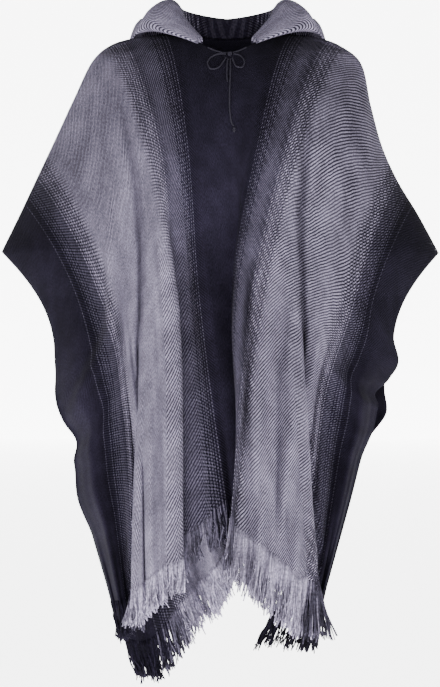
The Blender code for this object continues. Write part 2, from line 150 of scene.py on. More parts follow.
# The shoulder line, a row per warp line: place across the cloth, then where it lies.
RIDGE = np.array([
    # place    x       z
    (-0.650, -0.390, -0.371), (-0.570, -0.359, -0.308), (-0.480, -0.327, -0.240),
    (-0.400, -0.294, -0.170), (-0.340, -0.264, -0.105), (-0.270, -0.229, -0.035),
    (-0.220, -0.201, -0.011), (-0.115, -0.105, 0.009), (0.000, 0.004, 0.012),
    (0.115, 0.114, 0.009), (0.220, 0.201, -0.011), (0.270, 0.235, -0.038),
    (0.340, 0.254, -0.114), (0.400, 0.271, -0.178), (0.480, 0.299, -0.243),
    (0.570, 0.338, -0.308), (0.650, 0.373, -0.373)])
# The same warp lines lower down on each length.
FRONT_LINES = np.array([
    # chest x  chest z  waist x  waist z   hem x   hem z
    (-0.295, -0.545, -0.260, -0.750, -0.195, -0.980),
    (-0.260, -0.485, -0.222, -0.720, -0.178, -0.974),
    (-0.220, -0.430, -0.172, -0.650, -0.156, -0.958),
    (-0.203, -0.348, -0.156, -0.592, -0.142, -0.944),
    (-0.181, -0.288, -0.140, -0.546, -0.130, -0.932),
    (-0.154, -0.220, -0.112, -0.499, -0.104, -0.910),
    (-0.135, -0.172, -0.091, -0.473, -0.083, -0.894),
    (-0.070, -0.149, -0.045, -0.441, 0.000, -0.798),
    (0.004, -0.144, 0.040, -0.438, 0.055, -0.800),
    (0.065, -0.144, 0.013, -0.438, 0.036, -0.806),
    (0.131, -0.166, 0.060, -0.455, 0.012, -0.836),
    (0.153, -0.215, 0.087, -0.485, 0.044, -0.861),
    (0.180, -0.286, 0.124, -0.536, 0.082, -0.889),
    (0.204, -0.350, 0.147, -0.580, 0.112, -0.915),
    (0.224, -0.436, 0.168, -0.625, 0.144, -0.934),
    (0.257, -0.493, 0.222, -0.674, 0.164, -0.950),
    (0.290, -0.534, 0.250, -0.679, 0.172, -0.956)])
BACK_LINES = np.array([
    # chest x  chest z  waist x  waist z   hem x   hem z
    (-0.295, -0.545, -0.247, -0.744, -0.177, -1.064),
    (-0.260, -0.490, -0.222, -0.726, -0.135, -1.068),
    (-0.224, -0.434, -0.184, -0.674, -0.086, -1.008),
    (-0.205, -0.350, -0.166, -0.620, -0.054, -0.977),
    (-0.182, -0.288, -0.145, -0.580, -0.031, -0.955),
    (-0.154, -0.220, -0.112, -0.540, -0.010, -0.925),
    (-0.135, -0.165, -0.082, -0.510, 0.003, -0.905),
    (-0.067, -0.126, -0.038, -0.473, 0.022, -0.852),
    (0.004, -0.119, 0.009, -0.455, 0.048, -0.838),
    (0.072, -0.122, 0.056, -0.473, 0.074, -0.842),
    (0.135, -0.160, 0.098, -0.505, 0.097, -0.866),
    (0.154, -0.215, 0.120, -0.540, 0.109, -0.888),
    (0.182, -0.288, 0.150, -0.585, 0.126, -0.920),
    (0.203, -0.350, 0.174, -0.624, 0.143, -0.944),
    (0.222, -0.434, 0.198, -0.668, 0.163, -0.976),
    (0.261, -0.490, 0.233, -0.700, 0.160, -1.010),
    (0.290, -0.534, 0.250, -0.711, 0.085, -1.018)])
# How wide and deep the worn cloth is at each height.
SHAPE = np.array([
    # height  half width  front   back
    (0.020, 0.100, 0.110, 0.110), (-0.025, 0.224, 0.120, 0.125), (-0.100, 0.262, 0.130, 0.140),
    (-0.200, 0.310, 0.140, 0.150), (-0.371, 0.405, 0.142, 0.145), (-0.450, 0.345, 0.145, 0.145),
    (-0.550, 0.312, 0.148, 0.150), (-0.660, 0.285, 0.150, 0.156), (-0.830, 0.245, 0.160, 0.165),
    (-0.950, 0.215, 0.164, 0.172), (-1.120, 0.200, 0.168, 0.180)])
# Pleats: one side of the line steps forward and laps over the other. The last four columns are
# distances down the cloth, and 9.0 lies far past the hem: the pleat doesn't end on the cloth.
FRONT_PLEATS = [
    # at ridge  at hem  half width  step   lap   dies over  starts  full  fades  gone
    (-0.020, 0.125, 0.110, 0.058, 0.000, 9.0, 0.30, 0.50, 9.0, 9.9),
    (-0.205, -0.205, 0.050, -0.050, 0.015, 9.0, 0.28, 0.52, 9.0, 9.9),
    (-0.210, -0.475, 0.050, 0.050, 0.008, 9.0, 0.48, 0.70, 9.0, 9.9),
    (-0.125, -1.260, 0.045, 0.026, 0.002, 0.16, 0.14, 0.26, 0.34, 0.44),
    (0.144, 0.515, 0.048, -0.052, 0.010, 9.0, 0.42, 0.64, 9.0, 9.9)]
BACK_PLEATS = [
    # at ridge  at hem  half width  step  lap  dies over  starts  full  fades  gone
    (0.570, 0.570, 0.070, 0.030, 0.000, 9.0, 0.40, 0.80, 9.0, 9.9)]
# Soft folds: a trough where the depth is negative, a swell where it is positive.
FRONT_FOLDS = [
    # at ridge  at hem  half width  depth  starts  full  fades  gone
    (-0.210, -0.475, 0.028, -0.016, 0.10, 0.24, 0.50, 0.62),
    (0.144, 0.520, 0.028, -0.022, 0.12, 0.28, 0.46, 0.60),
    (0.050, 0.270, 0.024, -0.016, 0.36, 0.52, 9.0, 9.9),
    (0.220, 0.352, 0.022, -0.014, 0.52, 0.64, 9.0, 9.9),
    (-0.250, -0.330, 0.045, 0.010, 0.15, 0.40, 9.0, 9.9),
    (0.180, 0.420, 0.040, 0.012, 0.20, 0.45, 9.0, 9.9),
    (-0.080, -0.110, 0.050, 0.018, 0.25, 0.60, 9.0, 9.9),
    (-0.570, -0.590, 0.070, 0.024, 0.14, 0.50, 9.0, 9.9),
    (0.575, 0.590, 0.060, 0.020, 0.22, 0.45, 0.60, 0.88)]
BACK_FOLDS = [
    # at ridge  at hem  half width  depth  starts  full  fades  gone
    (-0.600, -0.600, 0.080, 0.024, 0.15, 0.50, 9.0, 9.9),
    (-0.500, -0.500, 0.080, -0.030, 0.15, 0.50, 9.0, 9.9),
    (-0.400, -0.400, 0.080, 0.040, 0.20, 0.50, 9.0, 9.9),
    (-0.300, -0.300, 0.080, -0.040, 0.22, 0.55, 9.0, 9.9),
    (-0.200, -0.195, 0.085, 0.034, 0.32, 0.65, 9.0, 9.9),
    (-0.100, -0.095, 0.080, -0.034, 0.38, 0.72, 9.0, 9.9),
    (0.000, 0.000, 0.080, 0.042, 0.38, 0.72, 9.0, 9.9),
    (0.100, 0.100, 0.080, -0.042, 0.38, 0.72, 9.0, 9.9),
    (0.205, 0.205, 0.090, 0.038, 0.32, 0.65, 9.0, 9.9),
    (0.320, 0.320, 0.090, -0.030, 0.22, 0.55, 9.0, 9.9),
    (0.430, 0.430, 0.080, 0.018, 0.20, 0.50, 9.0, 9.9)]

# Shallow creases side by side all over, which the cloth's own weight pulls in it: their depth, the
# width of one, how far it leans on its way down, where the first one is, and how far down they grow in.
CREASES = [
    # depth   width  leans  first  starts  full
    (0.0053, 0.083, 0.060, 0.020, 0.25, 0.80),
    (0.0036, 0.052, -0.045, 0.013, 0.35, 0.85),
    (0.0015, 0.029, 0.020, 0.005, 0.20, 0.60)]
CREASE_SWAY = (0.35, 9.0, 14.0)        # how far they sway, and how often down and across

# The selvedges flute below the elbows, out and in again.
FRONT_FLUTES = [
    # side  down  half height  how far out
    (-1.0, 0.340, 0.080, -0.007), (-1.0, 0.445, 0.060, 0.013), (-1.0, 0.600, 0.100, -0.008),
    (1.0, 0.265, 0.070, 0.011), (1.0, 0.385, 0.065, -0.015), (1.0, 0.520, 0.080, 0.006)]
BACK_FLUTES = [
    # side  down  half height  how far out
    (-1.0, 0.300, 0.100, 0.008), (1.0, 0.300, 0.080, -0.006), (1.0, 0.430, 0.080, 0.013)]
FLUTE_FROM = 0.46             # place across where fluting starts


def slopes(knots, values):
    """Slope at each knot of a smooth curve through the values."""
    gap = np.diff(knots)[:, None]
    rise = np.diff(values, axis=0) / gap
    middle = (rise[:-1] * gap[1:] + rise[1:] * gap[:-1]) / (gap[1:] + gap[:-1])
    return np.concatenate([rise[:1], middle, rise[-1:]])


def cubic(step, start, end, start_slope, end_slope):
    """Smooth step from start to end that leaves and arrives along the given slopes."""
    square = step * step
    cube = square * step
    return ((2 * cube - 3 * square + 1) * start + (cube - 2 * square + step) * start_slope
            + (3 * square - 2 * cube) * end + (cube - square) * end_slope)


def smooth(knots, values, at):
    """Values of the smooth curve at the given places."""
    knots = np.asarray(knots, float)
    values = np.asarray(values, float).reshape(len(knots), -1)
    at = np.clip(np.asarray(at, float), knots[0], knots[-1])
    slope = slopes(knots, values)
    i = np.clip(np.searchsorted(knots, at, side="right") - 1, 0, len(knots) - 2)
    gap = (knots[i + 1] - knots[i])[:, None]
    step = (at - knots[i])[:, None] / gap
    return cubic(step, values[i], values[i + 1], slope[i] * gap, slope[i + 1] * gap)


def ease(step):
    step = np.clip(step, 0.0, 1.0)
    return step * step * (3 - 2 * step)


def grows(down, starts, full, fades, gone):
    """How much of a fold there is this far down the cloth."""
    return ease((down - starts) / (full - starts)) * ease((gone - down) / (gone - fades))


def hang(lines, down):
    """x and z of every warp line at the given distances down the cloth."""
    rows = np.concatenate([RIDGE[:, None, 1:], lines.reshape(-1, 3, 2)], axis=1)
    out = np.abs(RIDGE[:, 0]) / HALF_WIDTH
    bow = np.stack([out ** TURN_IN, -ROLL[0] * (1 - out ** ROLL[1])], axis=1)
    gap = np.diff(LEVELS)
    rise = np.diff(rows, axis=1) / gap[None, :, None]
    middle = (rise[:, 1] * gap[2] + rise[:, 2] * gap[1]) / (gap[1] + gap[2])
    slope = np.stack([rise[:, 0] * (1 + bow), rise[:, 0] * (1 - bow), middle, rise[:, 2]], axis=1)
    i = np.clip(np.searchsorted(LEVELS, down, side="right") - 1, 0, 2)
    step = ((down - LEVELS[i]) / gap[i])[None, :, None]
    wide = gap[i][None, :, None]
    return cubic(step, rows[:, i], rows[:, i + 1], slope[:, i] * wide, slope[:, i + 1] * wide)


def worn_depth(x, z, depth_column):
    """Distance of the worn cloth from the shoulder plane, and its height under the shoulder line."""
    fine = np.linspace(-HALF_WIDTH, HALF_WIDTH, RIDGE_STEPS)
    top = smooth(RIDGE[:, 0], RIDGE[:, 1:], fine)
    below = np.maximum(np.interp(x, top[:, 0], top[:, 1]) - z, 0.0)
    order = np.argsort(SHAPE[:, 0])
    half = np.interp(z, SHAPE[order, 0], SHAPE[order, 1])
    deep = np.interp(z, SHAPE[order, 0], SHAPE[order, depth_column])
    turn = 1 - (1 - np.clip(below / DOME, 0, 1)) ** 2
    round_off = 1 - np.clip(np.abs(x) / half, 0, ROUNDED) ** 2
    return deep * np.sqrt(turn * round_off), below


def smooth_rows(rows, place):
    """The smooth curve across the warp lines, read at one place across the cloth."""
    count = rows.shape[1]
    return smooth(RIDGE[:, 0], rows.reshape(len(RIDGE), -1), [place]).reshape(count, 2)


def cloth(lines, pleats, folds, flutes, depth_column, facing, across, down):
    """Middle of one loom length: a point for each place across and each distance down there."""
    flat = np.stack([smooth_rows(hang(lines, row), place) for place, row in zip(across, down)])
    x, z = flat[..., 0], flat[..., 1]
    y, below = worn_depth(x, z, depth_column)
    room = np.clip(y / FOLD_ROOM, 0, 1)
    forward = np.zeros_like(x)
    aside = np.zeros_like(x)
    place = across[:, None]
    for at_ridge, at_hem, wide, step, lap, dies, *reach in pleats:
        off = (place - at_ridge - (at_hem - at_ridge) * down / DROP) / wide
        much = grows(down, *reach) * room
        forward += step * ease((off + 1) / 2) * (1 - ease((off - 1) * wide / dies)) * much
        aside -= lap * np.sin(np.pi * np.clip(off, -1, 1)) * much
    for at_ridge, at_hem, wide, depth, *reach in folds:
        off = (place - at_ridge - (at_hem - at_ridge) * down / DROP) / wide
        forward += depth * np.cos(np.pi / 2 * np.clip(off, -1, 1)) ** 2 * grows(down, *reach) * room
    for side, at, high, out in flutes:
        near_edge = ease((side * place - FLUTE_FROM) / (HALF_WIDTH - FLUTE_FROM))
        aside += out * np.cos(np.pi / 2 * np.clip((down - at) / high, -1, 1)) ** 2 * near_edge
    swing, swing_down, swing_across = CREASE_SWAY
    sway = swing * np.sin(down * swing_down + place * swing_across)
    for depth, wide, leans, first, starts, full in CREASES:
        turn = 2 * np.pi * (place - first - leans * down / DROP) / wide + sway
        forward += depth * np.sin(turn) * ease((down - starts) / (full - starts)) * room
    y = y + forward
    y = np.where(y < LEAST_DEPTH, LEAST_DEPTH * np.exp(np.minimum(y - LEAST_DEPTH, 0) / LEAST_DEPTH), y)
    y = y * np.clip(below / SEAM_RUN, 0, 1)
    return np.stack([x + aside, facing * (y + SEAM), z], axis=-1)


def front_cloth(across, down):
    return cloth(FRONT_LINES, FRONT_PLEATS, FRONT_FOLDS, FRONT_FLUTES, 2, -1.0, across, down)


def back_cloth(across, down):
    return cloth(BACK_LINES, BACK_PLEATS, BACK_FOLDS, BACK_FLUTES, 3, 1.0, across, down)


def facing_out(middle, down, sign):
    """Unit normals of a grid of cloth, flat to the seam at the shoulder line and level at the hem."""
    wide = np.gradient(middle, axis=0)
    long = np.gradient(middle, axis=1)
    normal = np.cross(wide, long) * sign
    on_ridge = down < TINY
    ridge = np.stack([-wide[..., 2], np.zeros_like(down), wide[..., 0]], axis=-1)
    normal = np.where(on_ridge[..., None], ridge, normal)
    normal[..., 2] = np.where(down > DROP - TINY, 0.0, normal[..., 2])
    return normal / np.linalg.norm(normal, axis=-1, keepdims=True)


def neck_edge(across, cut):
    """How far down the cloth the neck hole reaches at this place."""
    inside = np.clip(np.abs(across) / NECK_HALF, 0, 1)
    return cut * (1 - inside ** NECK_CURVE[0]) ** NECK_CURVE[1]


def cloth_grid(across, cut, rows):
    """Distances down the cloth for each place across, from the neck or shoulder to the hem."""
    start = neck_edge(across, cut)[:, None]
    share = np.linspace(0, 1, rows)[None, :] ** ROW_SPREAD
    return start + (DROP - start) * share


def add_mesh(name, points, faces):
    mesh = bpy.data.meshes.new(name)
    mesh.from_pydata([tuple(float(c) for c in p) for p in points], [], faces)
    mesh.update()
    piece = bpy.data.objects.new(name, mesh)
    bpy.context.collection.objects.link(piece)
    return piece


def wall(name, outer, inner):
    """A closed wall between two grids of points of the same size."""
    long, wide = outer.shape[:2]
    total = long * wide
    points = np.concatenate([outer.reshape(-1, 3), inner.reshape(-1, 3)])
    faces = []
    for i in range(long - 1):
        for j in range(wide - 1):
            a = i * wide + j
            quad = (a, a + 1, a + wide + 1, a + wide)
            faces.append(quad)
            faces.append(tuple(k + total for k in reversed(quad)))
    rim = [i * wide for i in range(long)]
    rim += [(long - 1) * wide + j for j in range(1, wide)]
    rim += [i * wide + wide - 1 for i in range(long - 2, -1, -1)]
    rim += [j for j in range(wide - 2, 0, -1)]
    for k, a in enumerate(rim):
        b = rim[(k + 1) % len(rim)]
        faces.append((a, b, b + total, a + total))
    return add_mesh(name, points, faces)


def columns(count):
    """Places across the cloth, with one on each corner of the neck hole."""
    side = np.linspace(NECK_HALF, HALF_WIDTH, (count - NECK_COLUMNS + 1) // 2 + 1)
    neck = np.linspace(-NECK_HALF, NECK_HALF, NECK_COLUMNS)
    return np.concatenate([-side[::-1], neck[1:-1], side])


def set_uv(piece, places):
    """The piece's own map: place across and down the cloth in metres at each corner."""
    layer = piece.data.uv_layers.new(name="cloth")
    corner = np.empty(len(piece.data.loops), dtype=np.int32)
    piece.data.loops.foreach_get("vertex_index", corner)
    layer.data.foreach_set("uv", np.asarray(places, dtype=np.float32)[corner].ravel())


def finish_piece(piece, material):
    piece.data.materials.append(material)
    piece.data.shade_smooth()
    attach(piece, "root")


# The yarns, from the middle of the cloth outwards: near black, dark grey, light lavender grey and a darker
# grey. At the selvedges the same near black is painted darker still, as painted shade on the sides of
# the worn cloth. The weft between the wales is near black all over.
NAVY = (0.0112, 0.0093, 0.0180)
GREY = (0.084, 0.075, 0.110)
DUSK = (0.056, 0.050, 0.074)
LIGHT = (0.232, 0.209, 0.288)
# Painted shade: the middle's NAVY made darker for the sides of the cloth.
EDGE = (0.0070, 0.0058, 0.0114)
WEFT = (0.0120, 0.0100, 0.0190, 1.0)
# Where the warp changes tone. Warps of both tones are mixed for MIXED on the way from one to the next.
PANEL_TONES = [(0.0, NAVY), (0.126, GREY), (0.207, LIGHT), (0.466, DUSK), (0.516, EDGE)]
MIXED = 0.056
TAKES_TURNS = 0.618                    # spreads the mixed warps evenly
WARP_STEP = 0.0021                     # from one warp that shows to the next
PICK_STEP = 0.0054                     # from one short float of a warp to its next
WALE_STEP = 0.0041                     # from one slanting wale to the next
WALE_LEAN = (0.84, 0.54)               # the way across the wales: across the cloth, and down it
WANDER = (38.0, 0.0030)                # how the wales wander: scale of the noise, and how far
SHAKE = (330.0, 0.0016)                # how rough the yarns' edges are: scale of the noise, and how far
FLAT_PATCHES = 11.0                    # from here, scales of the noise in the brushing and the fibres
BRUSHED = 7.0
BLOTCH = 28.0
FIBRE = 620.0
FUZZ = 700.0
LOOSE_YARN = 900.0
FIBRE_RUN = (1.0, 0.35, 1.0)           # fibres are longer down the warp than across it
YARN_RUN = (1.0, 0.01, 1.0)            # a loose yarn keeps its shade for its whole length
RIB_EDGE = 0.60
WEFT_SHOWS = 0.97
BUMP = (0.7, 0.0012)                   # strength and distance
RIB_HIGH = 0.6
FUZZ_HIGH = 0.8
# How tones change over a range: where it begins and ends, and what it gives there.
MEETING = (0.35, 0.75)                 # in shares of the mixed width
PATCHES = (0.36, 0.60)
PICK_TONE = (-0.45, 0.35, -0.76, 0.30)
FIBRE_TONE = (0.25, 0.75, 0.50, 1.45)
BLOTCH_TONE = (0.30, 0.70, 0.80, 1.16)
BRUSHED_TONE = (0.30, 0.70, 0.84, 1.14)
YARN_TONE = (0.30, 0.66, 0.42, 1.30)
LEFT_FAINTER_WEFT = (-0.30, -0.05, 0.94, 1.0)
NECK_SHADE = (0.08, 0.48, 0.66, 1.0)
RIGHT_SHADE = (-0.05, 0.12, 1.0, 0.85)


class Nodes:
    """Adds shader nodes one after another and joins them up."""

    def __init__(self, material):
        self.tree = material.node_tree

    def put(self, socket, value):
        if isinstance(value, bpy.types.NodeSocket):
            self.tree.links.new(value, socket)
        else:
            socket.default_value = value

    def math(self, operation, a, b=0.0, c=0.0):
        node = self.tree.nodes.new("ShaderNodeMath")
        node.operation = operation
        for socket, value in zip(node.inputs, (a, b, c)):
            self.put(socket, value)
        return node.outputs[0]

    def times(self, first, *others):
        for other in others:
            first = self.math("MULTIPLY", first, other)
        return first

    def noise(self, vector, scale, detail=2.0):
        node = self.tree.nodes.new("ShaderNodeTexNoise")
        self.put(node.inputs["Vector"], vector)
        node.inputs["Scale"].default_value = scale
        node.inputs["Detail"].default_value = detail
        return node.outputs["Fac"]

    def wobble(self, vector, scale, reach):
        """Noise to both sides of zero, as far as reach from one side to the other."""
        return self.times(self.math("SUBTRACT", self.noise(vector, scale), 0.5), reach)

    def stretch(self, vector, scale):
        node = self.tree.nodes.new("ShaderNodeMapping")
        node.inputs["Scale"].default_value = scale
        self.put(node.inputs["Vector"], vector)
        return node.outputs["Vector"]

    def span(self, value, low, high, out_low, out_high):
        """Goes smoothly from out_low to out_high while the value goes from low to high."""
        node = self.tree.nodes.new("ShaderNodeMapRange")
        node.interpolation_type = "SMOOTHSTEP"
        self.put(node.inputs["Value"], value)
        ends = {"From Min": low, "From Max": high, "To Min": out_low, "To Max": out_high}
        for name, number in ends.items():
            node.inputs[name].default_value = number
        return node.outputs["Result"]

    def mix(self, share, a, b, blend="MIX"):
        node = self.tree.nodes.new("ShaderNodeMix")
        node.data_type = "RGBA"
        node.blend_type = blend
        for name, value in (("Factor_Float", share), ("A_Color", a), ("B_Color", b)):
            socket = next(s for s in node.inputs if s.identifier == name)
            self.put(socket, value)
        return next(s for s in node.outputs if s.identifier == "Result_Color")

    def ramp(self, value, stops):
        """Steps of colour: each stop holds until the next."""
        node = self.tree.nodes.new("ShaderNodeValToRGB")
        node.color_ramp.interpolation = "CONSTANT"
        while len(node.color_ramp.elements) < len(stops):
            node.color_ramp.elements.new(1.0)
        for element, (place, color) in zip(node.color_ramp.elements, stops):
            element.position = place
            element.color = (*color, 1.0)
        self.put(node.inputs["Fac"], value)
        return node.outputs["Color"]


def warp_tone(nodes, across, shake, tones, mixed):
    """The warp at each place, and its tone, which it keeps from the neck to the fringe."""
    warp = nodes.math("FLOOR", nodes.math("DIVIDE", nodes.math("ADD", across, shake), WARP_STEP))
    turn = nodes.math("FRACT", nodes.times(nodes.math("ABSOLUTE", warp), TAKES_TURNS))
    swap = nodes.times(nodes.math("SUBTRACT", turn, 0.5), mixed)
    place = nodes.math("ADD", nodes.math("ABSOLUTE", nodes.times(warp, WARP_STEP)), swap)
    return warp, nodes.ramp(nodes.math("MAXIMUM", place, 0.0), tones)


def short_floats(nodes, across, down, warp, tones, mixed, wale):
    """Where tones meet, each warp shows as a row of short floats with darker picks between them."""
    nearest = 1.0
    for at, _ in tones[1:]:
        away = nodes.math("ABSOLUTE", nodes.math("SUBTRACT", nodes.math("ABSOLUTE", across), at))
        nearest = nodes.math("MINIMUM", away, nearest)
    meets = nodes.span(nearest, mixed * MEETING[0], mixed * MEETING[1], wale, 0.0)
    run = nodes.times(down, 2 * math.pi / PICK_STEP)
    third = nodes.times(nodes.math("ABSOLUTE", warp), 2 * math.pi / 3)
    picks = nodes.math("SINE", nodes.math("ADD", run, third))
    light = nodes.span(picks, *PICK_TONE)
    return nodes.math("ADD", 1.0, nodes.times(light, meets))


def wales(nodes, sideways, down, shake, wander, wale_step, lean):
    """Ribs that slant over the warp: 1 on a rib and 0 in the weft between two."""
    slant = nodes.math("ADD", nodes.times(sideways, lean[0]), nodes.times(down, lean[1]))
    slant = nodes.math("ADD", nodes.math("ADD", slant, nodes.times(shake, 0.5)), wander)
    wave = nodes.math("SINE", nodes.times(slant, 2 * math.pi / wale_step))
    return nodes.span(wave, -RIB_EDGE, RIB_EDGE, 0.0, 1.0)


def brushing(nodes, cloth_place):
    """Loose fibres: fine along the warp, a little blotched, and brushed more in some places."""
    fibre = nodes.noise(nodes.stretch(cloth_place, FIBRE_RUN), FIBRE, 3.0)
    fibre = nodes.span(fibre, *FIBRE_TONE)
    blotch = nodes.span(nodes.noise(cloth_place, BLOTCH, 4.0), *BLOTCH_TONE)
    brushed = nodes.span(nodes.noise(cloth_place, BRUSHED, 1.0), *BRUSHED_TONE)
    return nodes.times(fibre, blotch, brushed)


def weave_material(name, tones, mixed=MIXED, wale=1.0, crisp=(0.82, 1.0), wale_step=WALE_STEP,
                   lean=WALE_LEAN, mirrored=False, even=False):
    """Brushed twill: warps in order of tone, crossed by slanting wales with dark weft between them."""
    material = bpy.data.materials.new(name)
    material.use_nodes = True
    nodes = Nodes(material)
    shader = material.node_tree.nodes["Principled BSDF"]
    uv = material.node_tree.nodes.new("ShaderNodeUVMap")
    uv.uv_map = "cloth"
    cloth_place = uv.outputs["UV"]
    split = material.node_tree.nodes.new("ShaderNodeSeparateXYZ")
    nodes.put(split.inputs[0], cloth_place)
    across, down = split.outputs[0], split.outputs[1]
    wander = nodes.wobble(cloth_place, *WANDER)
    shake = nodes.wobble(cloth_place, *SHAKE)
    warp, tone = warp_tone(nodes, across, shake, tones, mixed)
    sideways = nodes.math("ABSOLUTE", across) if mirrored else across
    rib = wales(nodes, sideways, down, shake, wander, wale_step, lean)
    # Brushing has blurred the wales in patches. On the left the weft between them shows a little less, so
    # the left is a little lighter.
    patch = nodes.span(nodes.noise(cloth_place, FLAT_PATCHES), *PATCHES, *crisp)
    left_fainter_weft = nodes.span(across, *LEFT_FAINTER_WEFT)
    gap = nodes.times(nodes.math("SUBTRACT", 1.0, rib), nodes.times(patch, left_fainter_weft))
    cover = nodes.math("SUBTRACT", 1.0, nodes.times(gap, WEFT_SHOWS * wale))
    color = nodes.mix(cover, WEFT, tone)
    soft = brushing(nodes, cloth_place)
    soft = nodes.times(soft, short_floats(nodes, across, down, warp, tones, mixed, wale))
    if not even:
        # The cloth is darker towards the neck, and a little darker on the right.
        shade = nodes.times(nodes.span(down, *NECK_SHADE), nodes.span(across, *RIGHT_SHADE))
        soft = nodes.times(soft, shade)
    if not wale:
        # With no weft between them, single yarns of the fringe show lighter and darker.
        single = nodes.noise(nodes.stretch(cloth_place, YARN_RUN), LOOSE_YARN, 1.0)
        soft = nodes.times(soft, nodes.span(single, *YARN_TONE))
    gray = material.node_tree.nodes.new("ShaderNodeCombineXYZ")
    for socket in gray.inputs:
        nodes.put(socket, soft)
    nodes.put(shader.inputs["Base Color"], nodes.mix(1.0, color, gray.outputs[0], "MULTIPLY"))
    bump = material.node_tree.nodes.new("ShaderNodeBump")
    bump.inputs["Strength"].default_value = BUMP[0]
    bump.inputs["Distance"].default_value = BUMP[1]
    height = nodes.math("ADD", nodes.times(rib, RIB_HIGH * wale),
                        nodes.times(nodes.noise(cloth_place, FUZZ, 3.0), FUZZ_HIGH))
    nodes.put(bump.inputs["Height"], height)
    nodes.put(shader.inputs["Normal"], bump.outputs["Normal"])
    shader.inputs["Roughness"].default_value = 0.95
    shader.inputs["Specular IOR Level"].default_value = 0.03
    shader.inputs["Sheen Weight"].default_value = 0.01
    shader.inputs["Sheen Roughness"].default_value = 0.6
    return material


warps = columns(PANEL_COLUMNS)


def panel_piece(name, surface, cut, sign, node, slot):
    """One loom length: a wall of cloth, mapped across and down."""
    down = cloth_grid(warps, cut, PANEL_ROWS)
    middle = surface(warps, down)
    normal = facing_out(middle, down, sign)
    outer = middle + normal * HALF_CLOTH
    inner = middle - normal * HALF_CLOTH
    if sign < 0:
        piece = wall(name, outer, inner)
    else:
        piece = wall(name, inner, outer)
    places = np.stack([np.broadcast_to(warps[:, None], down.shape), down], axis=-1).reshape(-1, 2)
    set_uv(piece, np.concatenate([places, places]))
    finish_piece(piece, weave_material(slot, PANEL_TONES))
    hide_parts(node)
    return piece, middle, normal


front, front_middle, front_normal = panel_piece(
    "front_cloth", front_cloth, NECK_FRONT, -1.0, "front_panel", "front_weave")
back, back_middle, back_normal = panel_piece(
    "back_cloth", back_cloth, NECK_BACK, 1.0, "back_panel", "back_weave")

# ---------------------------------------------------------------- the fringes
# The warp ends are left long below the hem and hang as loose single yarns, in the warp's own tones.
# They weren't cut to one length.
FRINGE_CUT = np.array([
    # place   front   back
    (-0.650, 0.066, 0.074), (-0.480, 0.060, 0.074), (-0.200, 0.058, 0.062), (-0.100, 0.072, 0.058),
    (0.080, 0.074, 0.060), (0.160, 0.086, 0.066), (0.400, 0.100, 0.074), (0.650, 0.092, 0.080)])
# The ends have no weft between them, so their tones show a little lighter than in the cloth.
FRINGE_LIGHTER = 1.20
FRINGE_TONES = [(at, tuple(FRINGE_LIGHTER * part for part in tone)) for at, tone in PANEL_TONES]
YARNS = 1500
YARN_THICK = 0.0031
YARN_TAPER = 0.3              # share of its thickness that a yarn loses by its tip
YARN_SIDES = 4
YARN_STEPS = 8
YARN_TWIST = 3.0              # radians from hem to tip
YARN_EDGE = 0.001             # the outermost yarns lie this far in from the selvedges
YARN_ROOT = 0.005             # a yarn starts this far up inside the cloth
YARN_ROW = 0.0012             # and up to this far out from its middle, or in
YARN_LEAN = 0.0036
YARN_DROOP = 1.4              # power: it leans more and more towards its tip
YARN_CURL = 0.0034
CURL_START = 6.28             # a curl starts anywhere in its turn
CURL_RUN = (7.0, 6.0)         # radians that it turns, along the hem and out from it
YARN_CUTS = (0.90, 1.05)      # shortest and longest yarn of a bunch
BUNCH = 0.008
BUNCH_UNEVEN = (0.7, 97.0)    # some bunches are wider than others: how much, and how often
BUNCH_LEAN = (0.0028, 0.0035, 0.0)
BUNCH_CUTS = (0.93, 1.05)     # shortest and longest bunch
PULL = (0.30, 0.012)          # how much a yarn leans to the middle of its bunch, and from how far
HEM_ROWS = 14                 # rows of cloth that give the way it falls at the hem


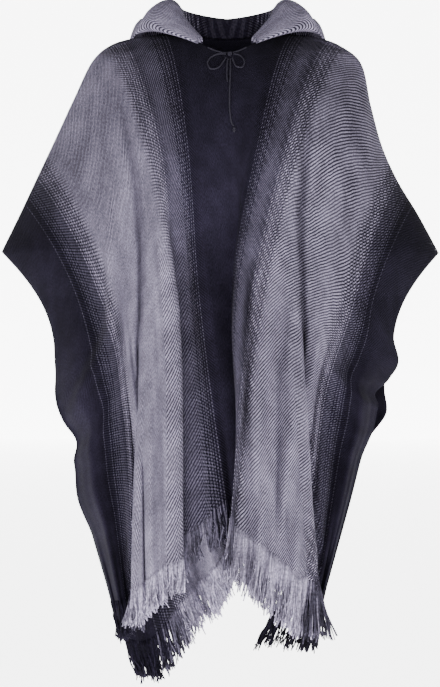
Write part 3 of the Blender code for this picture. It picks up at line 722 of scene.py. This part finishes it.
def fringe_piece(name, middle, normal, cut, node, slot, seed):
    """Every yarn is a thin tapered tube. Neighbours lean together in bunches and curl."""
    chance = np.random.default_rng(seed)
    places = np.sort(chance.uniform(-HALF_WIDTH + YARN_EDGE, HALF_WIDTH - YARN_EDGE, YARNS))
    hem = np.stack([np.interp(places, warps, middle[:, -1, k]) for k in range(3)], axis=1)
    above = np.stack([np.interp(places, warps, middle[:, -HEM_ROWS, k]) for k in range(3)], axis=1)
    fall = hem - above
    fall /= np.linalg.norm(fall, axis=1, keepdims=True)
    out = np.stack([np.interp(places, warps, normal[:, -1, k]) for k in range(3)], axis=1)
    side = np.cross(fall, out)
    longs = np.interp(places, FRINGE_CUT[:, 0], FRINGE_CUT[:, cut])
    uneven = BUNCH_UNEVEN[0] * np.sin(places * BUNCH_UNEVEN[1])
    bunch = np.floor(places / BUNCH + uneven).astype(int)
    bunch = bunch - bunch.min()
    leans = chance.normal(0.0, 1.0, (bunch.max() + 1, 3)) * BUNCH_LEAN
    stretch = chance.uniform(*BUNCH_CUTS, bunch.max() + 1)
    points = []
    faces = []
    maps = []
    for i, place in enumerate(places):
        long = longs[i] * stretch[bunch[i]] * chance.uniform(*YARN_CUTS)
        same = bunch == bunch[i]
        pull = hem[same].mean(axis=0) - hem[i]
        pull = pull * min(1.0, PULL[1] / (np.linalg.norm(pull) + TINIEST))
        lean = leans[bunch[i]] + chance.normal(0.0, YARN_LEAN, 3) + pull * PULL[0]
        curl = chance.normal(0.0, YARN_CURL, 2)
        phase = chance.uniform(0.0, CURL_START)
        start = hem[i] - fall[i] * YARN_ROOT + out[i] * chance.uniform(-YARN_ROW, YARN_ROW)
        base = len(points)
        for step in range(YARN_STEPS + 1):
            share = step / YARN_STEPS
            spot = start + fall[i] * (long * share) + lean * share ** YARN_DROOP
            spot = spot + side[i] * curl[0] * math.sin(phase + CURL_RUN[0] * share) * share
            spot = spot + out[i] * curl[1] * math.cos(phase + CURL_RUN[1] * share) * share
            thick = YARN_THICK / 2 * (1.0 - YARN_TAPER * share ** 3)
            for corner in range(YARN_SIDES):
                turn = 2 * math.pi * corner / YARN_SIDES + YARN_TWIST * share
                points.append(spot + (side[i] * math.cos(turn) + out[i] * math.sin(turn)) * thick)
                maps.append((place, DROP + long * share))
            if step:
                a = base + (step - 1) * YARN_SIDES
                for corner in range(YARN_SIDES):
                    k = (corner + 1) % YARN_SIDES
                    faces.append((a + corner, a + k, a + k + YARN_SIDES, a + corner + YARN_SIDES))
        faces.append(tuple(base + k for k in reversed(range(YARN_SIDES))))
        faces.append(tuple(base + YARN_STEPS * YARN_SIDES + k for k in range(YARN_SIDES)))
    piece = add_mesh(name, points, faces)
    set_uv(piece, maps)
    finish_piece(piece, weave_material(slot, FRINGE_TONES, MIXED, 0.0))
    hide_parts(node)
    return piece


front_fringe = fringe_piece("front_fringe", front_middle, front_normal, 1, "fringe_front",
                            "front_fringe_yarn", 11)
back_fringe = fringe_piece("back_fringe", back_middle, back_normal, 2, "fringe_back",
                           "back_fringe_yarn", 12)

# ---------------------------------------------------------------- the hood
# Two halves of the same cloth sewn together over the head and to the neck hole. It is worn down: it
# rises a little round the neck, falls behind the back in a soft pouch and comes up to its face edge.
HOOD_RINGS = np.array([
    # back out   up   rear out   up   side out   up
    (0.000, 0.000, 0.000, 0.000, 0.000, 0.000),
    (0.004, 0.018, 0.003, 0.022, -0.002, 0.022),
    (0.016, 0.034, 0.012, 0.041, 0.003, 0.044),
    (0.040, 0.030, 0.034, 0.043, 0.016, 0.055),
    (0.076, -0.025, 0.060, 0.020, 0.034, 0.053),
    (0.112, -0.115, 0.084, -0.030, 0.050, 0.043),
    (0.140, -0.205, 0.104, -0.078, 0.062, 0.031),
    (0.178, -0.228, 0.128, -0.088, 0.069, 0.017),
    (0.192, -0.160, 0.136, -0.055, 0.070, 0.006),
    (0.186, -0.070, 0.134, -0.012, 0.064, 0.001),
    (0.178, -0.010, 0.124, 0.022, 0.056, 0.003),
    (0.168, 0.018, 0.112, 0.036, 0.048, 0.008)])
HOOD_TIP_TURN = math.radians(143)      # where the hood's front ends stop, round from the back
HOOD_STATIONS = [0.0, 0.36, 0.63, 0.82, 1.0]     # back, rear, side, front side and front end
HOOD_FRONT_SIDE = 0.55                 # the flap gets smaller towards its front end
HOOD_TIP = 0.20                        # and is this small at it
HOOD_OFF_EDGE = 0.005                  # the hood is sewn this far outside the cut
HOOD_LIFT = 0.0045                     # and stands this far off it
HOOD_SHARES = 161                      # stations round the neck
HOOD_RUNS = 111                        # rings from the seam at the neck to the face edge
# Each half is cut with its dark stripe along the seam over the head. Its wales run nearly straight from
# the neck to the face edge, and those of the two halves mirror each other.
# The hood's dark yarn is painted lighter than the cloth's NAVY: painted light on the hood's shaded inside.
HOOD_TONES = [(0.0, (0.028, 0.024, 0.038)), (0.036, GREY), (0.066, LIGHT)]
HOOD_MIXED = 0.030
HOOD_WALE = 0.0086
HOOD_LEAN = (0.98, -0.16)


def neck_point(turn, off):
    """A point just outside the neck hole, turned round from the back."""
    place = NECK_HALF * math.sin(turn)
    across = np.array([place])
    if abs(turn) < math.pi / 2:
        surface, cut = back_cloth, NECK_BACK
    else:
        surface, cut = front_cloth, NECK_FRONT
    down = neck_edge(across, cut)[:, None] + off
    return surface(across, down)[0, 0]


def hood_station(turn_share):
    """Out and up of every hood ring at one station, 0 at the back and 1 at a front end."""
    back, rear, side = HOOD_RINGS[:, 0:2], HOOD_RINGS[:, 2:4], HOOD_RINGS[:, 4:6]
    rows = np.stack([back, rear, side, side * HOOD_FRONT_SIDE, side * HOOD_TIP])
    return smooth(HOOD_STATIONS, rows.reshape(len(rows), -1), [turn_share]).reshape(-1, 2)


def hood_cloth(shares, rings):
    """Points of the middle of the hood: stations round the neck, rings from seam to face edge."""
    points = np.empty((len(shares), len(rings), 3))
    for i, share in enumerate(shares):
        turn = share * HOOD_TIP_TURN
        seam = neck_point(turn, HOOD_OFF_EDGE)
        out = np.array([math.sin(turn), math.cos(turn), 0.0])
        section = smooth(range(len(HOOD_RINGS)), hood_station(abs(share)), rings)
        points[i] = seam + out * section[:, :1]
        points[i, :, 2] += HOOD_LIFT + section[:, 1]
    return points


shares = np.linspace(-1, 1, HOOD_SHARES)
rings = np.linspace(0, len(HOOD_RINGS) - 1, HOOD_RUNS)
hood_middle = hood_cloth(shares, rings)
along = np.gradient(hood_middle, axis=0)
rise = np.gradient(hood_middle, axis=1)
hood_normal = np.cross(along, rise)
hood_normal /= np.linalg.norm(hood_normal, axis=-1, keepdims=True)
hood = wall("hood_cloth", hood_middle - hood_normal * HALF_CLOTH, hood_middle + hood_normal * HALF_CLOTH)
# The hood's map runs out from the seam over the head and back from the neck, at the cloth's own scale.
neck_middle = hood_middle[:, 0, :2].mean(axis=0)
reach = np.linalg.norm(hood_middle[..., :2] - neck_middle, axis=-1) * HOOD_TIP_TURN
steps = (reach[1:] + reach[:-1]) / (HOOD_SHARES - 1)
out_run = np.concatenate([np.zeros((1, HOOD_RUNS)), np.cumsum(steps, axis=0)])
out_run = out_run - out_run[HOOD_SHARES // 2]
back_run = np.linalg.norm(np.diff(hood_middle, axis=1), axis=-1)
back_run = np.concatenate([np.zeros((HOOD_SHARES, 1)), np.cumsum(back_run, axis=1)], axis=1)
places = np.stack([out_run, back_run], axis=-1).reshape(-1, 2)
set_uv(hood, np.concatenate([places, places]))
hood_weave = weave_material("hood_weave", HOOD_TONES, HOOD_MIXED, crisp=(1.0, 1.0), wale_step=HOOD_WALE,
                            lean=HOOD_LEAN, mirrored=True, even=True)
finish_piece(hood, hood_weave)
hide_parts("hood")

# ---------------------------------------------------------------- the drawstring
# A dark twisted cord comes out of the neck edge at the middle of the front and is tied in a small
# bow. Its long end hangs to a knot and its short end hangs free.
CORD = 0.0028
CORD_LIFT = 0.0005                     # free room between the cloth and the cord
CORD_SIDES = 12
CORD_STEP = 0.0007
TWIST = 0.0075                         # the two plies go round each other once in twice this length
PLY_DEPTH = 0.20                       # how deep the groove between the plies is, as a share
PLY_ROUND = 0.7                        # power: the plies are round and the groove is narrow
CORD_DARK = (0.010, 0.009, 0.014, 1.0)
CORD_LIGHT = (0.026, 0.024, 0.033, 1.0)
CORD_FUZZ = 1500.0                     # scale of the noise in the wool
NECK_CORD_OFF = 0.003                  # the cord shows this far below the cut
NECK_CORD_END = 0.040                  # and this far to each side of the middle
NECK_CORD_STOPS = (0.0035, -0.0005)    # how far short of the knot each side of it stops, left and right
NECK_CORD_SPOTS = 7
KNOT_PLACE = (0.008, -0.036)
KNOT_SIZE = (0.0045, 0.0035, 0.0040)
TAIL_KNOT_PLACE = (0.007, -0.132)
TAIL_KNOT_SIZE = (0.0030, 0.0028, 0.0050)
KNOT_LIFT = 0.0006                     # free room between the cloth and a knot
BOW_STANDS = 1.15                      # the bow's knot sits a little higher on its cord
KNOT_TURNS = 3
KNOT_STEPS = 48                        # steps in each turn of the winding
KNOT_REACH = (0.12, 0.76)              # it starts this far down the knot and covers this share of it
KNOT_INSIDE = (0.0011, 0.0011, 0.0009) # how far inside the knot's surface the cord's middle runs
KNOT_TIGHT = 0.85                      # a knotted cord is this much thinner
# The bow, as places (x, z) on the front of the cloth measured from its knot.
BOW_ROUTES = [
    # name, places, extra height over the cloth
    ("bow_loop_left", [(-0.0066, 0.001), (-0.018, 0.001), (-0.032, -0.005), (-0.038, -0.015),
                       (-0.032, -0.026), (-0.020, -0.024), (-0.011, -0.013), (-0.0060, -0.0050)], 0.0008),
    ("bow_loop_right", [(0.0066, 0.001), (0.014, 0.000), (0.022, -0.006), (0.025, -0.014),
                        (0.020, -0.023), (0.012, -0.022), (0.007, -0.014), (0.0045, -0.0066)], 0.0008),
    ("tail_long", [(0.0010, -0.0070), (0.0010, -0.030), (-0.0005, -0.070), (0.0005, -0.105),
                   (0.0040, -0.122), (0.0064, -0.1255)], 0.0),
    ("tail_short", [(-0.0032, -0.0068), (-0.0045, -0.020), (-0.0050, -0.034), (-0.0040, -0.048)], 0.0)]


def on_chest(x, z, out):
    """A point this far out from the middle of the cloth at the front."""
    small = 0.001                      # step that gives the slope of the cloth
    y = -worn_depth(x, z, 2)[0] - SEAM
    in_x = (-worn_depth(x + small, z, 2)[0] - SEAM - y) / small
    in_z = (-worn_depth(x, z + small, 2)[0] - SEAM - y) / small
    normal = np.array([in_x, -1.0, in_z])
    normal = normal / np.linalg.norm(normal)
    return np.array([x, y, z]) + normal * out


def chest_route(places, out):
    return [on_chest(x, z, out) for x, z in places]


def neckline_places(start, end):
    """Places along the front neck edge, just below the cut."""
    across = np.linspace(start, end, NECK_CORD_SPOTS)
    down = neck_edge(across, NECK_FRONT)[:, None] + NECK_CORD_OFF
    points = front_cloth(across, down)[:, 0]
    return [(float(p[0]), float(p[2])) for p in points]


def cord_material(name):
    """Dark woollen cord: its plies and a soft fuzz."""
    material = bpy.data.materials.new(name)
    material.use_nodes = True
    nodes = Nodes(material)
    shader = material.node_tree.nodes["Principled BSDF"]
    where = material.node_tree.nodes.new("ShaderNodeTexCoord")
    fibre = nodes.span(nodes.noise(where.outputs["Object"], CORD_FUZZ, 3.0), 0.3, 0.7, 0.0, 1.0)
    nodes.put(shader.inputs["Base Color"], nodes.mix(fibre, CORD_DARK, CORD_LIGHT))
    shader.inputs["Roughness"].default_value = 0.9
    shader.inputs["Specular IOR Level"].default_value = 0.06
    return material


def twisted(points, radius):
    """Rings round a route: two plies laid round each other."""
    points = np.asarray(points)
    ahead = np.gradient(points, axis=0)
    ahead /= np.linalg.norm(ahead, axis=1, keepdims=True)
    first = np.cross(ahead[0], (0.0, 1.0, 0.0))
    if np.linalg.norm(first) < 0.1:
        first = np.cross(ahead[0], (1.0, 0.0, 0.0))
    first /= np.linalg.norm(first)
    spots = []
    gone = 0.0
    for i, point in enumerate(points):
        first = first - ahead[i] * np.dot(first, ahead[i])
        first /= np.linalg.norm(first)
        second = np.cross(ahead[i], first)
        if i:
            gone += np.linalg.norm(point - points[i - 1])
        for corner in range(CORD_SIDES):
            turn = 2 * math.pi * corner / CORD_SIDES
            groove = 1 - abs(math.cos(turn - math.pi * gone / TWIST)) ** PLY_ROUND
            lobe = 1 - PLY_DEPTH * groove
            spots.append(point + (first * math.cos(turn) + second * math.sin(turn)) * radius * lobe)
    return spots


def cord_tube(name, line, radius, node):
    """A closed tube of twisted cord along a line of points."""
    last = len(line) - 1
    faces = []
    for i in range(last):
        a = i * CORD_SIDES
        for corner in range(CORD_SIDES):
            k = (corner + 1) % CORD_SIDES
            faces.append((a + corner, a + k, a + k + CORD_SIDES, a + corner + CORD_SIDES))
    faces.append(tuple(reversed(range(CORD_SIDES))))
    faces.append(tuple(last * CORD_SIDES + k for k in range(CORD_SIDES)))
    piece = add_mesh(name, twisted(line, radius), faces)
    finish_piece(piece, cord_material(name + "_wool"))
    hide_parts(node)
    return piece


def cord_piece(name, route, node):
    """A cord along a smooth route."""
    route = np.array(route)
    lengths = np.concatenate([[0], np.cumsum(np.linalg.norm(np.diff(route, axis=0), axis=1))])
    count = int(lengths[-1] / CORD_STEP) + 2
    points = smooth(lengths, route, np.linspace(0, lengths[-1], count))
    return cord_tube(name, points, CORD / 2, node), points


def knot_piece(name, center, size, node):
    """A knot: the cord's turns wound close together over a rounded lump."""
    wide, deep, high = np.array(size) - KNOT_INSIDE
    line = []
    for share in np.linspace(0, 1, KNOT_STEPS * KNOT_TURNS + 1):
        tilt = math.pi * (KNOT_REACH[0] + KNOT_REACH[1] * share)
        turn = 2 * math.pi * KNOT_TURNS * share
        line.append(center + np.array([math.sin(tilt) * math.cos(turn) * wide,
                                       math.sin(tilt) * math.sin(turn) * deep,
                                       math.cos(tilt) * high]))
    return cord_tube(name, line, CORD / 2 * KNOT_TIGHT, node)


lie = HALF_CLOTH + CORD / 2 + CORD_LIFT
knot_x, knot_z = KNOT_PLACE
left_stop = knot_x - KNOT_SIZE[0] - NECK_CORD_STOPS[0]
right_stop = knot_x + KNOT_SIZE[0] + NECK_CORD_STOPS[1]
routes = {"neck_cord_left": chest_route(neckline_places(-NECK_CORD_END, left_stop), lie),
          "neck_cord_right": chest_route(neckline_places(right_stop, NECK_CORD_END), lie)}
for node, spots, out in BOW_ROUTES:
    routes[node] = chest_route([(knot_x + x, knot_z + z) for x, z in spots], lie + out)
bow_center = on_chest(knot_x, knot_z, HALF_CLOTH + KNOT_LIFT + KNOT_SIZE[1] * BOW_STANDS)
knot_piece("bow", bow_center, KNOT_SIZE, "bow_knot")
tail_center = on_chest(knot_x + TAIL_KNOT_PLACE[0], knot_z + TAIL_KNOT_PLACE[1],
                       HALF_CLOTH + KNOT_LIFT + TAIL_KNOT_SIZE[1])
end_knot = knot_piece("end_knot", tail_center, TAIL_KNOT_SIZE, "tail_knot")
for node, route in routes.items():
    piece, points = cord_piece("cord_" + node, route, node)
